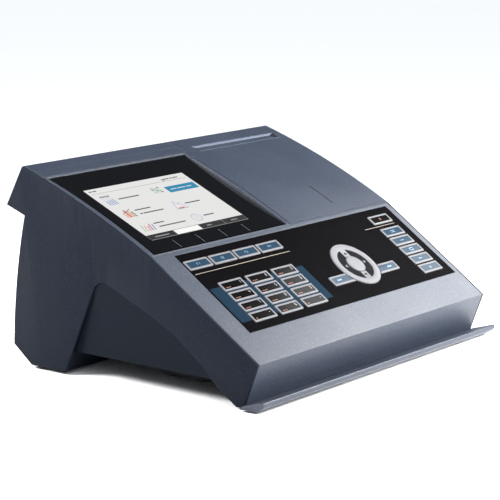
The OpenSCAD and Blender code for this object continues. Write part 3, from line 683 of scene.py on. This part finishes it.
class Picture:
    """Draws on the lit picture: x to the right and y up from its lower left corner, in millimetres."""

    def __init__(self):
        u0 = min(glass.of(p)[0] for p in glass_points)
        v1 = max(glass.of(p)[1] for p in glass_points)
        self.n = max(glass.of(p)[2] for p in glass_points)
        self.left, self.bottom = u0 + PICTURE_LEFT, v1 - PICTURE_UP
        self.mesh = bmesh.new()
        self.layer = 0

    def shape(self, points, ink, layer=1):
        outline = [(self.left + x * MM, self.bottom - y * MM) for x, y in points]
        plate(self.mesh, glass, outline, self.n + INK * layer, INK * 0.8, ink)

    def box(self, x0, x1, y0, y1, ink, layer=1):
        self.shape([(x0, y0), (x1, y0), (x1, y1), (x0, y1)], ink, layer)

    def line(self, x0, y0, x1, y1, width, ink, layer=2):
        self.shape(stroke(x0, y0, x1, y1, width), ink, layer)

    def words(self, x, y, lengths, ink=2, height=1.7):
        """A caption as a row of plain dashes, one for each word's worth of letters."""
        for length in lengths:
            self.box(x, x + length, y, y + height, ink, 2)
            x += length + 1.1


def make_picture():
    picture = Picture()
    wide, high = PICTURE[0] / MM, PICTURE[1] / MM
    paper, rule, text, teal, white, black, blue, brown, orange, red, green, violet, pale, tick = range(14)
    picture.box(0, wide, 8.4, high, paper)
    picture.line(3, 84.6, wide - 4, 84.0, 0.5, rule)
    picture.words(4, 88.3, (4.0, 5.5), height=1.5)
    picture.words(111, 86.8, (1.6, 9.0, 3.2, 8.5), height=1.6)
    picture.box(112.2, 113.6, 84.4, 87.6, text, 2)
    # the chosen tile and its icon
    picture.box(101, 146.4, 64.8, 75.2, teal, 2)
    for i, length in enumerate((9, 13, 8)):
        start = (106, 116.5, 131)[i]
        picture.box(start, start + length, 69.2, 70.6, pale, 3)
    for row in range(4):
        for column in range(3):
            tint = (green, pale, rule)[(row + column) % 3]
            x, y = 81 + column * 4.6, 68 + row * 2.5
            picture.box(x, x + 4.2, y, y + 1.9, tint, 2)
    # test tubes
    for i in range(4):
        x = 8.5 + i * 3.6
        picture.box(x, x + 2.0, 76.5, 79.4, brown, 2)
        picture.box(x, x + 2.0, 62.5, 76.0, pale, 2)
        picture.box(x + 0.3, x + 1.7, 63.0, 70.0 + i * 0.8, blue, 3)
    picture.words(27.6, 69.6, (30.5,))
    # bars and a rising line
    for i, tint in enumerate((orange, red, orange, rule)):
        x = 9 + i * 3.8
        picture.box(x, x + 2.8, 39.5, 45 + (i * 7 % 9), tint, 2)
    picture.line(8, 46, 24, 52.6, 0.7, text, 3)
    picture.words(27.9, 48.0, (23.5,))
    picture.words(29.3, 41.2, (3.5, 30))
    # a spectrum trace
    trace = [(81, 38.5), (84.5, 47), (87, 50.8), (89.5, 44), (92, 47.5), (94.5, 41), (97, 38.5)]
    for (x0, y0), (x1, y1) in zip(trace, trace[1:]):
        picture.line(x0, y0, x1, y1, 0.7, violet, 2)
    picture.line(80, 37.4, 98, 37.4, 0.6, text)
    picture.box(84, 92, 37.8, 39.2, red, 3)
    picture.words(99.4, 43.3, (23.4,))
    # sheets of many colours
    for i, tint in enumerate((green, orange, violet, red, blue)):
        x = 7 + i * 3.7
        picture.line(x, 14, x + 3.6, 25 - (i % 3) * 1.5, 1.5, tint, 2)
    picture.words(28.6, 23.0, (15.5,))
    picture.words(30.4, 16.8, (40,))
    # a clock face
    angles = [i * math.pi / 12 for i in range(24)]
    ring = [(89.5 + 6.6 * math.cos(a), 19.3 + 5.6 * math.sin(a)) for a in angles]
    for i in range(24):
        (x0, y0), (x1, y1) = ring[i], ring[(i + 1) % 24]
        picture.line(x0, y0, x1, y1, 0.6, blue, 2)
    picture.line(89.5, 19.3, 89.5, 23.2, 0.5, rule, 3)
    picture.line(89.5, 19.3, 92.5, 18.0, 0.5, rule, 3)
    picture.words(101, 19.2, (16,))
    # the row of soft keys along the bottom
    cells = (0, 39.6, 77.6, 114.4, wide)
    for i in range(4):
        picture.box(cells[i] + 0.3, cells[i + 1] - 0.3, 0.6, 7.9, (black, white, black, black)[i])
    for edge in cells:
        picture.box(max(0, edge - 0.3), min(wide, edge + 0.3), 0, 8.4, rule, 2)
    picture.box(0, wide, 0, 0.6, rule, 2)
    for start, end in ((9, 30), (88, 95), (126, 136)):
        picture.box(start, end, 3.4, 4.9, rule, 2)
    for x in (23.7, 58.9, 94.5, 131.0):
        picture.box(x - 0.35, x + 0.35, -18.3, -5.2, tick)
    inks = [printed("picture_" + name, colour, 1.0) for name, colour in PICTURE_INKS]
    inks.insert(paper, printed("picture_paper", (0.80, 0.80, 0.79), 1.0, 0.15))
    inks.append(printed("tick_grey", (0.07, 0.07, 0.075)))
    finish_piece("display_picture", picture.mesh, inks, "housing", smooth=0)


# ---- lid ---------------------------------------------------------------------------------------------
GROOVE_DEEP = 1.8
MARK_DEEP = 0.5
MARK_HALF = 1.0
MARK_STEPS = 8


class Lid:
    """The curved lid's outer skin in millimetres: x to the right, y along the table, lift off the skin."""

    def __init__(self):
        self.centre = Vector(joint("cell_lid_slide")["pos_m"])
        self.points = [v.co for v in NODES["cell_lid"].data.vertices]
        self.radius = max(self.reach(p) for p in self.points)

    def reach(self, point):
        return math.hypot(point.y - self.centre.y, point.z - self.centre.z)

    def at(self, x, y, lift):
        angle = math.asin((y * MM - self.centre.y) / self.radius)
        reach = self.radius + lift * MM
        return self.centre + Vector((x * MM - self.centre.x, reach * math.sin(angle), reach * math.cos(angle)))

    def cut(self, depth):
        """The left, right, front and rear edges of the cut whose floor lies this deep."""
        floor = [p for p in self.points if abs(self.radius - self.reach(p) - depth * MM) < 0.02 * MM]
        xs = [p.x / MM for p in floor]
        ys = [(self.centre.y + (p.y - self.centre.y) * self.radius / self.reach(p)) / MM for p in floor]
        return min(xs), max(xs), min(ys), max(ys)


def make_lid_details():
    """The groove's painted shade and highlight: a darker floor and black ends as painted shade, pale rims as a
    painted highlight; and a black inlay in the mark's slot as painted shade.
    """
    lid = Lid()
    left, right, front, rear = lid.cut(GROOVE_DEEP)
    floor = -GROOVE_DEEP
    mesh = bmesh.new()

    def run(x0, x1, section, material):
        ends = [[mesh.verts.new(lid.at(x, y, lift)) for y, lift in section] for x in (x0, x1)]
        bridge(mesh, ends[0], ends[1], material)
        for end in ends:
            mesh.faces.new(end).material_index = material

    # painted shade: a darker strip over the groove's floor
    bed = [(front + 0.1, floor + 0.02), (rear - 2.3, floor + 0.02), (rear - 2.3, floor + 0.12),
           (front + 0.1, floor + 0.12)]
    # painted highlight: pale strips along the groove's rear and front rims
    rear_rim = [(rear - 2.4, floor + 0.02), (rear - 0.1, floor + 0.02), (rear - 0.05, -0.1),
                (rear - 0.6, -0.35), (rear - 1.5, -1.2)]
    front_rim = [(front - 1.3, -0.2), (front + 0.05, -0.3), (front, 0.0), (front - 0.4, 0.09),
                 (front - 0.9, 0.07)]
    # painted shade: black blocks at the groove's two ends
    shade = [(front + 0.2, floor + 0.05), (rear - 0.2, floor + 0.05), (rear - 0.3, floor + 0.9),
             (front + 0.3, floor + 0.3)]
    run(left + 0.1, right - 0.1, bed, 0)
    run(left + 0.1, right - 0.1, rear_rim, 1)
    run(left + 1.0, right - 0.5, front_rim, 1)
    run(left + 0.1, left + 4.2, shade, 2)
    run(right - 4.2, right - 0.1, shade, 2)
    materials = [LOOKS["lid_floor_shade"], LOOKS["lid_rim_sheen"], LOOKS["lid_shade_black"]]
    finish_piece("lid_groove_shade_and_sheen", mesh, materials, "cell_lid", smooth=50)
    # painted shade: a black inlay fills the mark's slot, where there is only shade
    mesh = bmesh.new()
    left, right, front, rear = lid.cut(MARK_DEEP)
    middle = (left + right) / 2
    sections = []
    for i in range(MARK_STEPS + 1):
        y = front + (rear - front) * i / MARK_STEPS
        sections.append([mesh.verts.new(lid.at(middle + side * MARK_HALF, y, lift))
                         for side, lift in ((-1, -0.3), (1, -0.3), (1, 0.05), (0, 0.10), (-1, 0.05))])
    for one, two in zip(sections, sections[1:]):
        bridge(mesh, one, two, 0)
    for end in (sections[0], sections[-1]):
        mesh.faces.new(end)
    finish_piece("lid_mark_painted_shade", mesh, [LOOKS["lid_shade_black"]], "cell_lid")


# ---- rear sockets ------------------------------------------------------------------------------------
def cuboid(mesh, low, high, material):
    made = bmesh.ops.create_cube(mesh, size=1.0)["verts"]
    for vertex in made:
        vertex.co = Vector([low[i] + (vertex.co[i] + 0.5) * (high[i] - low[i]) for i in range(3)])
    for face in {f for v in made for f in v.link_faces}:
        face.material_index = material


def socket_insert(node, name, tongue, contacts, spring):
    """The insulating tongue and gold contacts inside a socket's shell."""
    low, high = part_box(node)
    x, z = (low.x + high.x) / 2, (low.z + high.z) / 2
    back, front = low.y + 2 * MM, high.y - 1.5 * MM
    width, height, drop = tongue
    mesh = bmesh.new()
    z += drop
    cuboid(mesh, (x - width / 2, back, z - height / 2), (x + width / 2, front, z + height / 2), 0)
    for i in range(contacts):
        at = x + (i - (contacts - 1) / 2) * width * 0.8 / max(contacts - 1, 1)
        level = z + spring * (height / 2 + 0.06 * MM)
        near = (at - 0.35 * MM, back, level - 0.1 * MM)
        far = (at + 0.35 * MM, front - 0.6 * MM, level + 0.1 * MM)
        cuboid(mesh, near, far, 1)
    bmesh.ops.bevel(mesh, geom=list(mesh.edges), offset=0.05 * MM, segments=1, affect="EDGES")
    finish_piece(name, mesh, [LOOKS["insulator"], LOOKS["gold"]], "housing")


def make_sockets():
    socket_insert("usb_a_socket", "usb_a_tongue", (11.2 * MM, 1.8 * MM, 1.2 * MM), 4, -1)
    socket_insert("usb_b_socket", "usb_b_tongue", (5.6 * MM, 3.2 * MM, 0.0), 2, 1)
    socket_insert("lan_socket", "lan_comb", (8.4 * MM, 1.2 * MM, 2.6 * MM), 8, -1)


# ---- finishes of the CAD nodes -----------------------------------------------------------------------
SLATE = (0.0190, 0.0250, 0.039)


def make_looks():
    return {
        "cover": moulding("cover_paint", SLATE, 0.42, grain=850.0, depth=0.00011, speckle=0.35),
        # painted shade: the side walls and, darker still, the base tub and rear parts are darker copies of the
        # cover's slate, standing in for the shade on them
        "side": moulding("side_paint_shaded", tone(SLATE, 0.40), 0.5, speckle=0.2, highlight_strength=0.4, specular=0.05),
        "trim": moulding("trim_paint", SLATE, 0.42, speckle=0.3),
        "tub": moulding("tub_paint_shaded", tone(SLATE, 0.30), 0.55, speckle=0.12, highlight_strength=0.25, specular=0.04),
        "pan": moulding("pan_black", (0.010, 0.010, 0.012), 0.6, speckle=0.05, highlight_strength=0.1),
        "foot": rubber("foot_rubber", (0.012, 0.012, 0.012)),
        "glass": gloss("display_gloss", (0.0035, 0.0037, 0.0045), 0.06, 0.03, 0.5),
        "lcd": gloss("lcd_cell", (0.10, 0.11, 0.12), 0.25),
        "mat": rubber("key_mat_rubber", (0.30, 0.30, 0.31), 0.7),
        "board": gloss("board_green", (0.015, 0.10, 0.045), 0.35, 0.1),
        "steel": metal("zinc_steel", (0.60, 0.60, 0.61), 0.32, (1.0, 0.05, 1.0)),
        "aluminium": metal("milled_aluminium", (0.70, 0.71, 0.73), 0.30, (0.05, 1.0, 1.0)),
        "anodised": moulding("black_anodised", (0.012, 0.012, 0.014), 0.5, grain=1800.0, speckle=0.05,
                             highlight_strength=0.3),
        "mirror": metal("ruled_mirror", (0.80, 0.83, 0.88), 0.12, (1.0, 1.0, 0.02)),
        "lamp": gloss("quartz_bulb", (0.78, 0.78, 0.74), 0.08),
        "key_white": gloss("key_frame_white", (0.155, 0.155, 0.163), 0.38, 0.08, 0.06),
        "window_blue": gloss("key_window_blue", (0.014, 0.031, 0.050), 0.12, 0.05, 0.03),
        "window_black": gloss("key_window_black", (0.0032, 0.0028, 0.0030), 0.12, 0.05, 0.02),
        "ring_black": gloss("ring_inlay_black", (0.0032, 0.0032, 0.0038), 0.40, 0.1, 0.02),
        "mark_grey": printed("mark_grey", (0.26, 0.26, 0.27)),
        "mark_red": printed("mark_red", (0.18, 0.055, 0.030)),
        "mark_blue": printed("mark_blue", (0.16, 0.26, 0.40)),
        "insulator": gloss("socket_insulator", (0.02, 0.02, 0.022), 0.4),
        # painted shade and highlight for the lid: a darker slate on the groove's floor, a paler slate on its
        # rims, black in its ends and in the mark's slot
        "lid_floor_shade": moulding("lid_groove_floor_shade", tone(SLATE, 0.8), 0.5, speckle=0.2),
        "lid_rim_sheen": moulding("lid_groove_rim_sheen", tone(SLATE, 2.6), 0.45, speckle=0.1, highlight_strength=0.2, specular=0.25),
        "lid_shade_black": rubber("lid_mark_shade_black", (0.004, 0.004, 0.005)),
        "gold": metal("gold_contact", (0.83, 0.62, 0.25), 0.25, (1.0, 0.05, 1.0)),
    }


FINISH = {
    "cover": ("top_cover", "rear_cover", "cell_lid", "front_lip"),
    "side": ("side_walls",),
    "trim": ("display_bezel",),
    "tub": ("base_tub", "rear_skirt", "rear_panel", "service_hatch"),
    "pan": ("base_pan", "cell_tray", "dc_inlet", "power_rocker"),
    "foot": ("rubber_feet",),
    "glass": ("display_glass",),
    "lcd": ("lcd_module",),
    "mat": ("key_mat",),
    "board": ("keypad_board", "detector_board", "main_board"),
    "steel": ("case_screws", "usb_a_socket", "usb_b_socket", "lan_socket"),
    "aluminium": ("optics_bench", "lamp_housing"),
    "anodised": ("round_cell_well", "rectangular_cell_shaft", "monochromator", "nav_gimbal"),
    "mirror": ("grating",),
    "lamp": ("halogen_lamp",),
}
ROUNDED = {"side_walls": 0.6, "rear_cover": 0.7, "front_lip": 0.7, "display_bezel": 0.5, "base_tub": 0.8,
           "base_pan": 0.8, "rubber_feet": 0.6, "rear_skirt": 0.5}


def round_edges(node, width):
    """Joins a CAD mesh's split faces and rounds its sharp edges, as modifiers."""
    weld = NODES[node].modifiers.new("weld", "WELD")
    weld.merge_threshold = 0.00001
    bevel = NODES[node].modifiers.new("bevel", "BEVEL")
    bevel.width = width * MM
    bevel.segments = 2
    bevel.limit_method = "ANGLE"
    bevel.angle_limit = math.radians(28)
    bevel.use_clamp_overlap = True
    bevel.harden_normals = True


def paint(node, material):
    data = NODES[node].data
    data.materials.clear()
    data.materials.append(material)


def paint_nodes():
    for look, names in FINISH.items():
        for name in names:
            paint(name, LOOKS[look])
    paint("keypad_overlay", overlay_look())


# ---- build -------------------------------------------------------------------------------------------
make_camera()
studio_world()
make_floor()
softbox("deck_light", (0.83, -0.26, 0.59), (0.12, -0.13, 0.05), (0.42, 0.34), 6)
softbox("front_fill", (0.55, -0.75, 0.45), (0.35, -0.45, 0.0), (0.4, 0.3), 24)
softbox("rear_fill", (-0.75, 0.55, 0.65), (-0.2, 0.08, 0.14), (0.3, 0.3), 16)
softbox("top_light", (-0.2, -1.2, 2.3), (0.0, 0.0, 0.1), (1.6, 1.2), 14)
LOOKS = make_looks()
paint_nodes()
for rounded_node, edge_width in ROUNDED.items():
    round_edges(rounded_node, edge_width)
make_keys()
make_ring()
make_ok_button()
make_picture()
make_lid_details()
make_sockets()
bpy.context.scene.view_settings.view_transform = "Standard"
